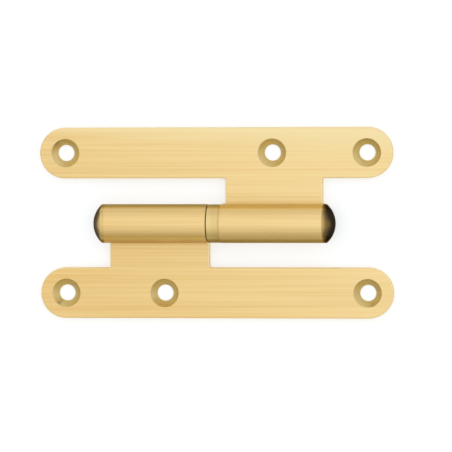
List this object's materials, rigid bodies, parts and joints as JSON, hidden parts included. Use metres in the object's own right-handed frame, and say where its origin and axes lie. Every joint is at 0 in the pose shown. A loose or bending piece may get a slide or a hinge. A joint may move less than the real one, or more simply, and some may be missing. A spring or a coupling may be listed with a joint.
{
  "type": "lift-off pin hinge",
  "caption": "Lift-off pin hinge: round-ended countersunk sheet leaves rolled into knuckles on a pressed-in pin, with a bearing ring and domed end caps, for hanging a door.",
  "frame": {"origin": "on the plane of the leaves' backs, under the middle of the pin", "axes": "+X along the pin towards the pin leaf's knuckle, +Y across the pin leaf away from the pin, +Z out of the leaves' screw faces"},
  "size_m": [0.11, 0.059, 0.012],
  "materials": {
    "leaf_brass": "steel sheet with satin brass plating, brushed along the pin",
    "ring_brass": "turned solid brass",
    "cap_brass": "turned steel with polished brass plating",
    "pin_steel": "ground steel"
  },
  "bodies": {
    "fixed_leaf": {"pin_leaf": "leaf_brass", "hinge_pin": "pin_steel", "pin_leaf_cap": "cap_brass"},
    "ring": {"bearing_ring": "ring_brass"},
    "lifting_leaf": {"socket_leaf": "leaf_brass", "socket_leaf_cap": "cap_brass"}
  },
  "joints": [
    {"name": "swing", "type": "hinge", "parent": "fixed_leaf", "child": "ring", "pos_m": [0, 0, 0.006], "axis": [-1, 0, 0], "range_deg": [-131, 192]},
    {"name": "lift_off", "type": "slide", "parent": "ring", "child": "lifting_leaf", "axis": [-1, 0, 0], "range_m": [0, 0.03]}
  ]
}
